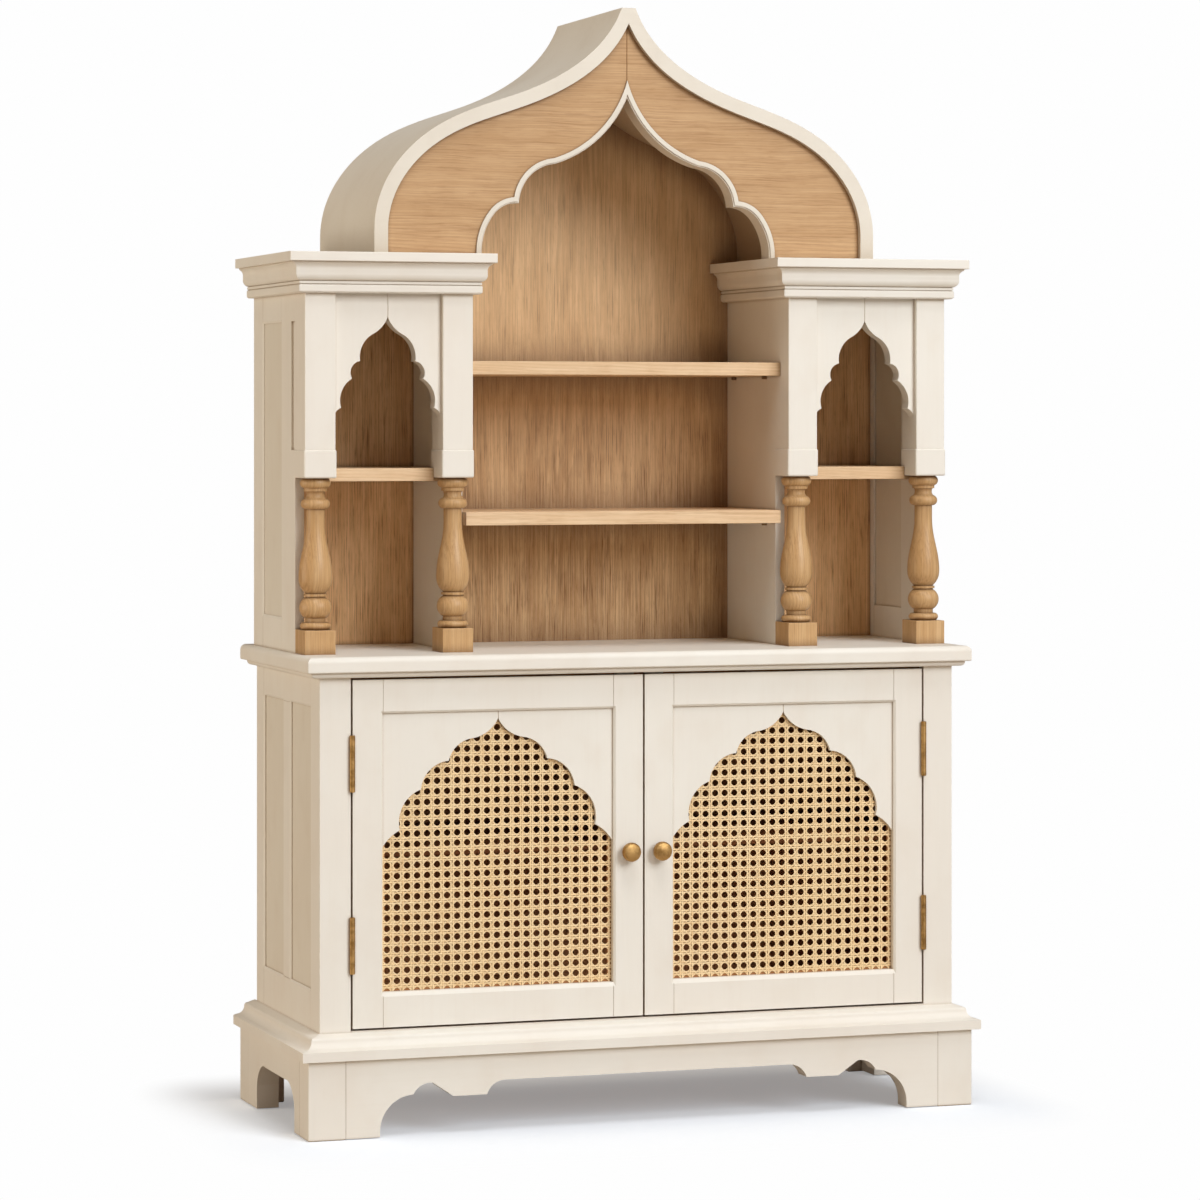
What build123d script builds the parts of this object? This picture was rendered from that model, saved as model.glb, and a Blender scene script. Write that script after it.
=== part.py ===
from build123d import *
import os

# Carved cabinet: a cupboard with two cane doors on a plinth, and an open hutch on its counter with two
# towers, a shelved bay between them and an onion dome above. Millimetres. X runs to the right seen from
# the front, Y to the back and Z up. The origin is on the floor under the middle of the footprint.

# Lower cupboard
carcase_width = 1288        # over the framed sides
carcase_depth = 484         # front of the face frame to the rear edges of the sides
case_height = 724           # plinth to counter
case_board = 22             # thickness of the side frames, face frame and doors
rear_set = 16               # how far the sides stand in from the wall plane
ease = 1.5                  # rounding of free edges
seam = 1.2                  # small bevel where painted pieces meet

# Plinth
plinth_height = 150
plinth_overhang = 30        # beyond the carcase, at the front and both sides
leg_width = 73
leg_depth = 66
apron_thickness = 44
apron_clearance = 98        # floor to the middle of the front apron
apron_foot = 66             # foot of the front apron beside each leg
toe_height = 14             # upright edge of that foot
cove_width = 65
cove_height = 79
hump_width = 79
hump_crest = 38             # from the cove's end to the highest point of the hump
pendant_width = 66
pendant_clearance = 72
pendant_shoulder = 37       # width of the curve from the pendant up to the straight middle
side_toe = 48               # upright edges of the side aprons' feet
side_foot_front = 38
side_foot_rear = 70
side_shoulder = 69          # width of the curves in the side aprons
side_clearance = 92
plinth_rail_height = 78
glue_block = 40
foot_bevel = 2              # lower edges of the legs; the aprons end this far above the floor

# Base moulding
base_overhang = 44
base_height = 47
base_fillet = 18
base_lip = 6
base_cove = 16
base_round = 6
base_quirk = 2              # fillet to the start of the cavetto

# Side frames and face frame
side_rear_stile = 56
side_middle_stile = 54
side_front_stile = 70
side_bottom_rail = 122
side_top_rail = 68
panel_thickness = 9
panel_recess = 5
side_bevel = 4              # inner edges of the framed sides
side_bevel_depth = 3
face_stile = 60
face_bottom_rail = 49
face_top_rail = 11
floor_thickness = 18
back_thickness = 9
lower_shelf_height = 321    # above the cupboard's floor
lower_shelf_thickness = 18
lower_shelf_set = 20        # behind the face frame
shelf_play = 1

# Shelf pins
pin_radius = 2.5
pin_length = 9
pin_from_front = 16         # into the front stile of each side
pin_from_rear = 22          # into the rear stile

# Counter
counter_thickness = 30
counter_overhang = 30
counter_round = 11
counter_under_round = 3
counter_moulding_height = 10
counter_moulding_reach = 20
counter_moulding_foot = 12
counter_moulding_fillet = 2

# Doors
door_gap = 4
door_stile = 59
door_top_rail = 64
door_bottom_rail = 66
door_bevel = 4              # inner edge of the stiles and the top rail
sill_bevel = 8              # inner edge of the bottom rail
bevel_depth = 4
arch_panel_set = 8          # behind the door's face
arch_panel_board = 8
door_arch_top = 14          # wood above the point of the arch
door_arch_rise = 241
cane_thickness = 1.5
bead_width = 8

# Knobs
knob_radius = 18.25
knob_length = 30
knob_waist = 7
knob_neck = 8               # under the head
knob_base = 9.5
knob_from_edge = 29.5
knob_height = 316.5         # above the door's lower edge

# Hinges
hinge_length = 107
hinge_radius = 5
hinge_from_end = 157        # door's end to the middle of the hinge
hinge_stand_off = 0.3       # barrel to the door's face
leaf_thickness = 1.2
leaf_width = 23             # from the hinge axis back into the gap
pin_play = 0.05
hinge_pin_radius = 2.2
pin_head = 0.8              # thickness of the pin's two heads
pin_head_radius = 4.2
knuckle_gap = 0.2
knuckles = 5

# Catches
catch_length = 36
catch_depth = 14
catch_height = 29
catch_from_middle = 12
catch_gap = 0.3
strike_thickness = 1.2
strike_height = 12
strike_length = 30

# Hutch towers
hutch_width = 1312
tower_width = 332
tower_depth = 396
tower_height = 744          # counter to cornice board
hutch_set = 40              # how far the hutch stands in from the wall plane
outer_side = 17
inner_side = 19
tower_rear_stile = 72
tower_front_stile = 108
rebate_width = 30           # step in the front stile beside the post
rebate_depth = 4
tower_bottom_rail = 64
tower_top_rail = 111
tower_panel_recess = 4
oak_back = 18
oak_back_set = 34           # rear edge of the sides to the rear of the oak backs
post_width = 60
post_depth = 72
post_block_height = 53
post_block_swell = 2
post_block_round = 3.5
post_block_bevel = 1.6      # upper edges of the block
baluster_height = 334
baluster_foot = 46
baluster_radius = 32        # at the swell of the vase
tower_shelf_height = 327    # counter to the underside
tower_shelf_thickness = 25
tower_shelf_reach = 16      # in front of the side boards
tower_arch_top = 103        # wood above the point of the arch
tower_arch_rise = 190
tower_arch_board = 30
tower_arch_set = 12         # behind the posts
centre_shelf_heights = (241, 532)
centre_shelf_thickness = 26
centre_shelf_reach = 28     # in front of the side boards
centre_pin_radius = 3
centre_pin_from_ends = 50   # of the side boards' free depth

# Cornices
cornice_board = 18
cornice_overhang = 38
cornice_height = 59
cornice_reach = 30
cornice_lip = 3
cornice_throat = 22.5
cornice_flare = 16
cornice_tuck = 36
cornice_neck = 11.6
cornice_bead_top = 43
cornice_bead_reach = 3
cornice_bead_height = 15
cornice_band = 6            # upright part under the flare
cornice_quirk = 1.4         # step from the tuck to the neck
cornice_groove = 1.2        # above and below the fillet on the neck
cornice_fillet_reach = 2.2

# Dome
dome_width = 1026
dome_height = 484
dome_forward = -24          # in front of the posts
roof_overhang = 30          # behind the towers' backs
dome_tip = 28               # width of the flat on its point
dome_tip_thickness = 30
roof_thickness = 27
fascia_set = 12             # behind the roof's front edge
fascia_thickness = 18
dome_arch_width = 614
dome_arch_share = 0.709      # rise of the arch as a share of the dome's height
trim_width = 11
trim_depth = 45
trim_proud = 4
trim_step = 2.5             # width and depth of the step along the opening
lining_width = 686
lining_share = 0.723         # rise of the vault as a share of the dome's height
lining_thickness = 9
lining_crown = 11.7         # thickness at its point
roof_places = 7             # places that the roof's inner edge is drawn through
lining_places = 6
smooth_turn = 15            # degrees; edges of an arch that turn by less run smoothly into each other

# Curves of the dome, as shares of its half width and its height, from the point to the shoulder
dome_curve = [(0.117, 0.849), (0.234, 0.748), (0.40, 0.660), (0.585, 0.592), (0.778, 0.494), (0.926, 0.341)]
dome_shoulder = 0.10

# Scalloped arches: each foil is an arc through one place to its end, as shares of the arch's half width
# and of its fall from the point to the foot.
door_foils = [
    ((0.091, 0.104), (0.217, 0.154)),
    ((0.368, 0.224), (0.427, 0.328)),
    ((0.583, 0.390), (0.667, 0.548)),
    ((0.808, 0.652), (0.847, 0.863)),
    ((0.935, 0.921), (1.0, 1.0)),
]
tower_foils = [
    ((0.123, 0.111), (0.283, 0.176)),
    ((0.480, 0.297), (0.516, 0.445)),
    ((0.689, 0.537), (0.665, 0.621)),
    ((0.868, 0.766), (0.868, 0.913)),
    ((0.953, 0.947), (1.0, 1.0)),
]
dome_foils = [
    ((0.147, 0.248), (0.489, 0.449)),
    ((0.671, 0.528), (0.752, 0.673)),
    ((0.844, 0.698), (0.915, 0.754)),
    ((0.977, 0.857), (1.0, 1.0)),
]
lining_curve = [(0.236, 0.200), (0.388, 0.285), (0.583, 0.366), (0.773, 0.469), (0.904, 0.620),
                (0.994, 0.826)]

# Turning of the balusters, as shares of the turned height and of the greatest radius
base_bead = (0.0, 0.024, 0.049)
ball = (0.076, 0.146, 0.214)
collar = (0.221, 0.236)
vase_foot = 0.240
vase_belly = 0.345
vase_neck = 0.705
upper_bead = (0.795, 0.829, 0.864)
upper_cove = (0.864, 0.890, 0.913)
cap_ring = (0.913, 0.932)
cap_bead = (0.936, 0.967, 0.997)
end_bead_share = 0.92
bead_share = 0.87
bead_root = 0.76
ball_share = 0.96
upper_root = 0.64
neck_share = 0.60
vase_neck_share = 0.55
collar_share = 0.70
ring_share = 0.69
cove_share = 0.53
vase_swell = (0.36, 0.66)   # place between the vase's foot and its belly, and how far it has swelled there

# Middles of the aprons' curves, as shares of each curve's width and rise
cove_turn = (0.25, 0.65)
hump_turn = (0.33, 0.70)
shoulder_turn = (0.38, 0.73)

# Middles of the mouldings' curves, as shares of their width and fall
diagonal = 0.5 ** 0.5
flare_turn = (0.25, 0.35)
throat_turn = (0.75, 0.65)

# Knob, as shares of its length and of its radius
base_share = 0.07
waist_share = 0.18
head_start = 0.30
head_swell = (0.88, 0.40)
head_widest = 0.62
head_turn = (0.975, 0.79)
crown_width = 0.86
crown_share = 0.09

# Places worked out from the sizes above
wall = (carcase_depth + rear_set + base_overhang) / 2
case_rear = wall - rear_set
case_front = case_rear - carcase_depth
half_case = carcase_width / 2
plinth_half = half_case + plinth_overhang
plinth_front = case_front - plinth_overhang
case_top = plinth_height + case_height
counter_top_height = case_top + counter_thickness
counter_half = half_case + counter_overhang
counter_front = case_front - counter_overhang
floor_top = plinth_height + face_bottom_rail
opening_half = half_case - face_stile
opening_top = case_top - face_top_rail
inner_half = half_case - case_board
inner_front = case_front + case_board

tower_rear = wall - hutch_set
tower_front = tower_rear - tower_depth
tower_side_front = tower_front + post_depth
tower_outer = hutch_width / 2
tower_inner = tower_outer - tower_width
tower_top = counter_top_height + tower_height
tower_middle = tower_outer - tower_width / 2
oak_rear = tower_rear - oak_back_set
oak_front = oak_rear - oak_back
dome_base = tower_top + cornice_board
dome_front = tower_front - dome_forward
dome_half = dome_width / 2
dome_arch_rise = dome_height * dome_arch_share
lining_rise = dome_height * lining_share
fascia_front = dome_front + fascia_set

door_width = opening_half - 1.5 * door_gap
door_bottom = floor_top + door_gap
door_top = opening_top - door_gap
door_outer = opening_half - door_gap
door_inner = door_gap / 2
door_middle = (door_outer + door_inner) / 2
pane_half = door_width / 2 - door_stile
pane_top = door_top - door_top_rail
pane_bottom = door_bottom + door_bottom_rail
cane_front = case_front + arch_panel_set + arch_panel_board
hinge_x = opening_half - door_gap / 2
hinge_y = case_front - hinge_radius - hinge_stand_off
hinge_heights = (door_bottom + hinge_from_end, door_top - hinge_from_end)

nodes = {}


def block(x, y, z):
    """A board between two places along each axis."""
    low = [min(span) for span in (x, y, z)]
    length, width, height = [max(span) - min(span) for span in (x, y, z)]
    corner = (Align.MIN, Align.MIN, Align.MIN)
    return Box(length, width, height, align=corner).moved(Location(tuple(low)))


def eased(solid, radius=ease):
    """The same board with all its edges rounded."""
    return fillet(solid.edges(), radius)


def seamed(solid, axis):
    """The same board with a small bevel on its edges along one axis."""
    return chamfer(solid.edges().filter_by(axis), seam)


def opening_bevel(face_plane, width, height, spread, depth):
    """What to cut away round an opening so that its edges slope from the face plane inwards."""
    wide = face_plane * Rectangle(width + 2 * spread, height + 2 * spread)
    narrow = face_plane.offset(-depth) * Rectangle(width, height)
    return loft([wide.face(), narrow.face()], ruled=True)


def other_side(solid):
    """The same piece on the other side of the cabinet."""
    return mirror(solid, about=Plane.YZ)


def path(points):
    """Straight edges through the points of an upright outline, each an (x, z) pair."""
    places = [(x, 0, z) for x, z in points]
    return [Line(start, end) for start, end in zip(places, places[1:])]


def arc(start, through, end):
    """An arc of an upright outline through three (x, z) pairs."""
    return ThreePointArc((start[0], 0, start[1]), (through[0], 0, through[1]), (end[0], 0, end[1]))


def board_of(edges, front, thickness):
    """A board with an upright outline, from its front face backwards."""
    return extrude(Face(Wire(edges)), amount=thickness, dir=(0, 1, 0)).moved(Location((0, front, 0)))


def mitred_run(profile, start, end, outward, reach, miter_start, miter_end):
    """A moulding whose back runs level from start to end and which turns a corner where it is mitred."""
    origin = Vector(*start)
    along = (Vector(*end) - origin).normalized()
    out = Vector(*outward)
    section = Plane(origin=origin - along * reach, x_dir=out, z_dir=out.cross(Vector(0, 0, 1)))
    length = (Vector(*end) - origin).length + 2 * reach
    solid = extrude(section * Face(Wire(profile)), amount=length, dir=along)
    low = solid.bounding_box().min.Z - reach
    high = solid.bounding_box().max.Z + reach
    corners = [
        origin,
        Vector(*end),
        Vector(*end) + out * reach + along * (reach * miter_end),
        origin + out * reach - along * (reach * miter_start),
    ]
    plan = Polyline([(corner.X, corner.Y, low) for corner in corners], close=True)
    return solid & extrude(Face(Wire(plan.edges())), amount=high - low, dir=(0, 0, 1))


def flat_path(points):
    """Straight edges of a moulding's section, each point an (out, up) pair."""
    return [Line(start, end) for start, end in zip(points, points[1:])]


def foil_edges(foils, half_width, crown, rise):
    """The scalloped edge of half an arch, from its point at X = 0 down to its foot."""
    edges = []
    here = (0, crown)
    for through, end in foils:
        middle = (through[0] * half_width, crown - through[1] * rise)
        there = (end[0] * half_width, crown - end[1] * rise)
        edges.append(arc(here, middle, there))
        here = there
    return edges


def arch_half_panel(foils, half_width, top, crown, rise, front, thickness):
    """Half of a panel over a scalloped arch, with its seam at X = 0."""
    foot = crown - rise
    edges = foil_edges(foils, half_width, crown, rise)
    edges += path([(half_width, foot), (half_width, top), (0, top), (0, crown)])
    half = board_of(edges, front, thickness)
    meeting = half.edges().filter_by(Axis.Z).filter_by_position(Axis.X, -seam, seam)
    return chamfer(meeting.sort_by(Axis.Y)[0], seam)


def plinth_legs():
    """Four corner legs."""
    front = block((plinth_half - leg_width, plinth_half), (plinth_front, plinth_front + leg_depth),
                  (0, plinth_height))
    front = seamed(front, Axis.Z)
    front = chamfer(front.faces().sort_by(Axis.Z)[0].edges(), foot_bevel)
    rear = front.moved(Location((0, wall - leg_depth - plinth_front, 0)))
    return [front, other_side(front), rear, other_side(rear)]


def plinth_apron_front():
    """The shaped board between the front legs: coved feet, humps and pendants."""
    leg = plinth_half - leg_width
    foot = leg - apron_foot
    cove_end = foot - cove_width
    hump_end = cove_end - hump_width
    crest = (cove_end - hump_crest, apron_clearance + ease)
    pendant_end = hump_end - pendant_width
    middle = pendant_end - pendant_shoulder
    cove_middle = (foot - cove_width * cove_turn[0], toe_height + (cove_height - toe_height) * cove_turn[1])
    hump_middle = (cove_end - hump_crest * hump_turn[0],
                   cove_height + (crest[1] - cove_height) * hump_turn[1])
    shoulder_middle = (pendant_end - pendant_shoulder * shoulder_turn[0],
                       pendant_clearance + (apron_clearance - pendant_clearance) * shoulder_turn[1])
    edges = path([(0, plinth_height), (leg, plinth_height), (leg, foot_bevel), (foot, foot_bevel),
                  (foot, toe_height)])
    edges.append(arc((foot, toe_height), cove_middle, (cove_end, cove_height)))
    edges.append(arc((cove_end, cove_height), hump_middle, crest))
    edges += path([crest, (hump_end, pendant_clearance), (pendant_end, pendant_clearance)])
    edges.append(arc((pendant_end, pendant_clearance), shoulder_middle, (middle, apron_clearance)))
    edges += path([(middle, apron_clearance), (0, apron_clearance), (0, plinth_height)])
    half = board_of(edges, plinth_front, apron_thickness)
    return [half + other_side(half)]


def plinth_aprons_side():
    """The shaped boards between the front and rear legs."""
    front = plinth_front + leg_depth
    rear = wall - leg_depth
    open_front = front + side_foot_front
    open_rear = rear - side_foot_rear
    turn_in = side_shoulder * cove_turn[0]
    turn_up = side_toe + (side_clearance - side_toe) * cove_turn[1]
    edges = path([(front, plinth_height), (front, foot_bevel), (open_front, foot_bevel),
                  (open_front, side_toe)])
    edges.append(arc((open_front, side_toe), (open_front + turn_in, turn_up),
                     (open_front + side_shoulder, side_clearance)))
    edges += path([(open_front + side_shoulder, side_clearance), (open_rear - side_shoulder, side_clearance)])
    edges.append(arc((open_rear - side_shoulder, side_clearance), (open_rear - turn_in, turn_up),
                     (open_rear, side_toe)))
    edges += path([(open_rear, side_toe), (open_rear, foot_bevel), (rear, foot_bevel),
                   (rear, plinth_height), (front, plinth_height)])
    flat = board_of(edges, 0, apron_thickness)
    right = flat.rotate(Axis.Z, 90).moved(Location((plinth_half, 0, 0)))
    return [right, other_side(right)]


def plinth_rail_rear():
    """A plain rail between the rear legs."""
    leg = plinth_half - leg_width
    return [block((-leg, leg), (wall - apron_thickness, wall),
                  (plinth_height - plinth_rail_height, plinth_height))]


def plinth_corner_blocks():
    """Glue blocks behind the front apron, against the legs."""
    leg = plinth_half - leg_width
    block_rear = plinth_front + leg_depth
    right = block((leg - glue_block, leg), (plinth_front + apron_thickness, block_rear),
                  (apron_clearance - glue_block, plinth_height))
    return [right, other_side(right)]


def base_moulding():
    """Three mitred lengths round the foot of the carcase: fillet, cavetto and rounded top."""
    cove_out = base_overhang - base_lip
    cove_in = cove_out - base_cove
    cove_low = base_fillet + base_quirk
    cove_high = cove_low + base_cove
    round_in = cove_in - base_round
    round_high = cove_high + base_round
    profile = flat_path([(0, base_height), (0, 0), (base_overhang, 0), (base_overhang, base_fillet),
                         (cove_out, cove_low)])
    cove_middle = (cove_out - base_cove * diagonal, cove_high - base_cove * diagonal)
    profile.append(ThreePointArc((cove_out, cove_low), cove_middle, (cove_in, cove_high)))
    round_middle = (round_in + base_round * diagonal, cove_high + base_round * diagonal)
    profile.append(ThreePointArc((cove_in, cove_high), round_middle, (round_in, round_high)))
    profile += flat_path([(round_in, round_high), (0, base_height)])
    left = (-half_case, case_front, plinth_height)
    right = (half_case, case_front, plinth_height)
    front_run = mitred_run(profile, left, right, (0, -1, 0), base_overhang, 1, 1)
    side_run = mitred_run(profile, right, (half_case, wall, plinth_height), (1, 0, 0), base_overhang, 1, 0)
    return [front_run, side_run, other_side(side_run)]


def carcase_floor():
    """The cupboard's bottom board."""
    return [block((-inner_half, inner_half), (inner_front, case_rear - back_thickness),
                  (floor_top - floor_thickness, floor_top))]


def lower_side_frame():
    """The right side: two rails between three stiles, mitred to the face frame at the front corner."""
    x = (inner_half, half_case)
    z = (plinth_height, case_top)
    rear_edge = case_rear - side_rear_stile
    front_edge = case_front + side_front_stile
    middle = (rear_edge + front_edge) / 2
    corner = [(half_case, case_front), (half_case, front_edge), (inner_half, front_edge),
              (inner_half, inner_front)]
    plan = Polyline([(across, deep, plinth_height) for across, deep in corner], close=True)
    front_stile = extrude(Face(Wire(plan.edges())), amount=case_height, dir=(0, 0, 1))
    rear_stile = block(x, (rear_edge, case_rear), z)
    stile_z = (plinth_height + side_bottom_rail, case_top - side_top_rail)
    middle_y = (middle - side_middle_stile / 2, middle + side_middle_stile / 2)
    middle_stile = seamed(block(x, middle_y, stile_z), Axis.Y)
    bottom_rail = seamed(block(x, (front_edge, rear_edge), (plinth_height, stile_z[0])), Axis.Z)
    top_rail = seamed(block(x, (front_edge, rear_edge), (stile_z[1], case_top)), Axis.Z)
    pieces = [front_stile, rear_stile, middle_stile, bottom_rail, top_rail]
    for low, high in ((front_edge, middle_y[0]), (middle_y[1], rear_edge)):
        face_plane = Plane(origin=(half_case, (low + high) / 2, sum(stile_z) / 2), x_dir=(0, 1, 0),
                           z_dir=(1, 0, 0))
        bevel = opening_bevel(face_plane, high - low, stile_z[1] - stile_z[0], side_bevel,
                              side_bevel_depth)
        pieces = [piece - bevel for piece in pieces]
    return pieces


def lower_side_panels():
    """Two recessed panels in each framed side."""
    rear_edge = case_rear - side_rear_stile
    front_edge = case_front + side_front_stile
    middle = (rear_edge + front_edge) / 2
    x = (half_case - panel_recess - panel_thickness, half_case - panel_recess)
    z = (plinth_height + side_bottom_rail, case_top - side_top_rail)
    rear_panel = block(x, (middle + side_middle_stile / 2, rear_edge), z)
    front_panel = block(x, (front_edge, middle - side_middle_stile / 2), z)
    return [rear_panel, front_panel, other_side(rear_panel), other_side(front_panel)]


def face_frame():
    """Two stiles mitred to the sides, with the bottom rail and the thin top rail between them."""
    corner = [(opening_half, case_front), (half_case, case_front), (inner_half, inner_front),
              (opening_half, inner_front)]
    plan = Polyline([(across, deep, plinth_height) for across, deep in corner], close=True)
    stile = extrude(Face(Wire(plan.edges())), amount=case_height, dir=(0, 0, 1))
    rail_x = (-opening_half, opening_half)
    rail_y = (case_front, inner_front)
    bottom_rail = seamed(block(rail_x, rail_y, (plinth_height, floor_top)), Axis.Z)
    top_rail = block(rail_x, rail_y, (opening_top, case_top))
    return [stile, other_side(stile), bottom_rail, top_rail]


def lower_back_board():
    """The cupboard's back, between the sides."""
    return [block((-inner_half, inner_half), (case_rear - back_thickness, case_rear),
                  (plinth_height, case_top))]


def lower_shelf():
    """The cupboard's shelf, resting on pins."""
    half = inner_half - shelf_play
    low = floor_top + lower_shelf_height
    shelf = block((-half, half), (inner_front + lower_shelf_set, case_rear - back_thickness - shelf_play),
                  (low, low + lower_shelf_thickness))
    return [eased(shelf)]


def pin_in_wall(wall_x, y, underside, radius):
    """A round pin that stands out of an upright board at wall_x towards the middle, under a shelf."""
    pin = Cylinder(radius, pin_length, align=(Align.CENTER, Align.CENTER, Align.MIN))
    pin = pin.rotate(Axis.Y, -90)
    return pin.moved(Location((wall_x, y, underside - radius)))


def shelf_pins():
    """Pins under the ends of the cupboard's shelf and of the two shelves in the bay."""
    front = inner_front + lower_shelf_set + pin_from_front
    rear = case_rear - back_thickness - pin_from_rear
    underside = floor_top + lower_shelf_height
    right = [pin_in_wall(inner_half, y, underside, pin_radius) for y in (front, rear)]
    bay_front = tower_side_front + centre_pin_from_ends
    bay_rear = oak_front - centre_pin_from_ends
    for height in centre_shelf_heights:
        level = counter_top_height + height
        right += [pin_in_wall(tower_inner, y, level, centre_pin_radius) for y in (bay_front, bay_rear)]
    return right + [other_side(pin) for pin in right]


def counter_top():
    """The counter board with a rounded edge at the front and both sides."""
    board = block((-counter_half, counter_half), (counter_front, wall), (case_top, counter_top_height))
    rims = board.edges().filter_by(Axis.X).sort_by(Axis.Y)[:2] + board.edges().filter_by(Axis.Y)
    board = fillet(rims.sort_by(Axis.Z)[3:], counter_round)
    lower = board.edges().filter_by_position(Axis.Z, case_top - seam, case_top + seam)
    return [fillet(lower.sort_by(Axis.Y)[:3], counter_under_round)]


def counter_moulding():
    """A small ovolo under the counter, in three mitred lengths."""
    top = counter_moulding_height
    fillet_low = top - counter_moulding_fillet
    reach = counter_moulding_reach
    foot = counter_moulding_foot
    bulge = (foot + (reach - foot) * diagonal, fillet_low * (1 - diagonal))
    profile = flat_path([(reach, fillet_low), (reach, top), (0, top), (0, 0), (foot, 0)])
    profile.append(ThreePointArc((foot, 0), bulge, (reach, fillet_low)))
    low = case_top - counter_moulding_height
    left = (-half_case, case_front, low)
    right = (half_case, case_front, low)
    front_run = mitred_run(profile, left, right, (0, -1, 0), reach, 1, 1)
    side_run = mitred_run(profile, right, (half_case, case_rear, low), (1, 0, 0), reach, 1, 0)
    return [front_run, side_run, other_side(side_run)]


def tower_side_frame():
    """The right tower's outer side: two stiles and two rails, the front one stepped beside the post."""
    x = (tower_outer - outer_side, tower_outer)
    z = (counter_top_height, tower_top)
    front_edge = tower_side_front + tower_front_stile
    rear_edge = tower_rear - tower_rear_stile
    block_top = counter_top_height + baluster_height + post_block_height
    rebate = block((tower_outer - rebate_depth, tower_outer),
                   (tower_side_front, tower_side_front + rebate_width),
                   (block_top, tower_top - tower_top_rail))
    front_stile = block(x, (tower_side_front, front_edge), z) - rebate
    rear_stile = block(x, (rear_edge, tower_rear), z)
    bottom_rail = seamed(block(x, (front_edge, rear_edge), (z[0], z[0] + tower_bottom_rail)), Axis.Z)
    top_rail = seamed(block(x, (front_edge, rear_edge), (z[1] - tower_top_rail, z[1])), Axis.Z)
    panel_z = (z[0] + tower_bottom_rail, z[1] - tower_top_rail)
    face_plane = Plane(origin=(tower_outer, (front_edge + rear_edge) / 2, sum(panel_z) / 2),
                       x_dir=(0, 1, 0), z_dir=(1, 0, 0))
    bevel = opening_bevel(face_plane, rear_edge - front_edge, panel_z[1] - panel_z[0], side_bevel,
                          side_bevel_depth)
    return [piece - bevel for piece in (front_stile, rear_stile, bottom_rail, top_rail)]


def tower_side_panels():
    """The recessed panel in each tower's outer side."""
    x = (tower_outer - tower_panel_recess - panel_thickness, tower_outer - tower_panel_recess)
    y = (tower_side_front + tower_front_stile, tower_rear - tower_rear_stile)
    z = (counter_top_height + tower_bottom_rail, tower_top - tower_top_rail)
    panel = block(x, y, z)
    return [panel, other_side(panel)]


def tower_inner_side():
    """The plain board between a tower and the bay."""
    return [block((tower_inner, tower_inner + inner_side), (tower_side_front, tower_rear),
                  (counter_top_height, tower_top))]


def tower_back():
    """A tower's oak back, between its two sides."""
    return [block((tower_inner + inner_side, tower_outer - outer_side), (oak_front, oak_rear),
                  (counter_top_height, tower_top))]


def tower_shelf():
    """A tower's oak shelf, with a tongue between the posts."""
    low = counter_top_height + tower_shelf_height
    z = (low, low + tower_shelf_thickness)
    wide = block((tower_inner + inner_side, tower_outer - outer_side), (tower_side_front, oak_front), z)
    tongue_half = tower_width / 2 - post_width - post_block_swell
    tongue = block((tower_middle - tongue_half, tower_middle + tongue_half),
                   (tower_side_front - tower_shelf_reach, tower_side_front), z)
    shelf = wide + tongue
    nose = shelf.edges().filter_by(Axis.X).sort_by(Axis.Y)[:2]
    return [fillet(nose, ease)]


def tower_post(post_inner):
    """One upper post: a straight shaft on a slightly thicker block."""
    x = (post_inner, post_inner + post_width)
    y = (tower_front, tower_side_front)
    low = counter_top_height + baluster_height
    block_top = low + post_block_height
    shaft = block(x, y, (block_top, tower_top))
    shaft = fillet(shaft.edges().filter_by(Axis.Z).sort_by(Axis.Y)[:2], ease)
    swell = post_block_swell
    foot = block((x[0] - swell, x[1] + swell), (y[0] - swell, y[1]), (low, block_top))
    uprights = foot.edges().filter_by(Axis.Z).sort_by(Axis.Y)[:2]
    rims = foot.edges().filter_by_position(Axis.Z, low - seam, low + seam).sort_by(Axis.Y)[:3]
    foot = fillet(uprights + rims, post_block_round)
    shoulder = foot.edges().filter_by_position(Axis.Z, block_top - seam, block_top + seam)
    foot = chamfer(shoulder.sort_by(Axis.Y)[:-1], post_block_bevel)
    return shaft + foot


def tower_posts():
    """The right tower's inner and outer posts."""
    return [tower_post(tower_inner), tower_post(tower_outer - post_width)]


def tower_arch_panel():
    """The right tower's arched panel between its posts, in two halves that meet at a seam."""
    half_width = tower_width / 2 - post_width
    half = arch_half_panel(tower_foils, half_width, tower_top, tower_top - tower_arch_top, tower_arch_rise,
                           tower_front + tower_arch_set, tower_arch_board)
    place = Location((tower_middle, 0, 0))
    return [half.moved(place), other_side(half).moved(place)]


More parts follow.
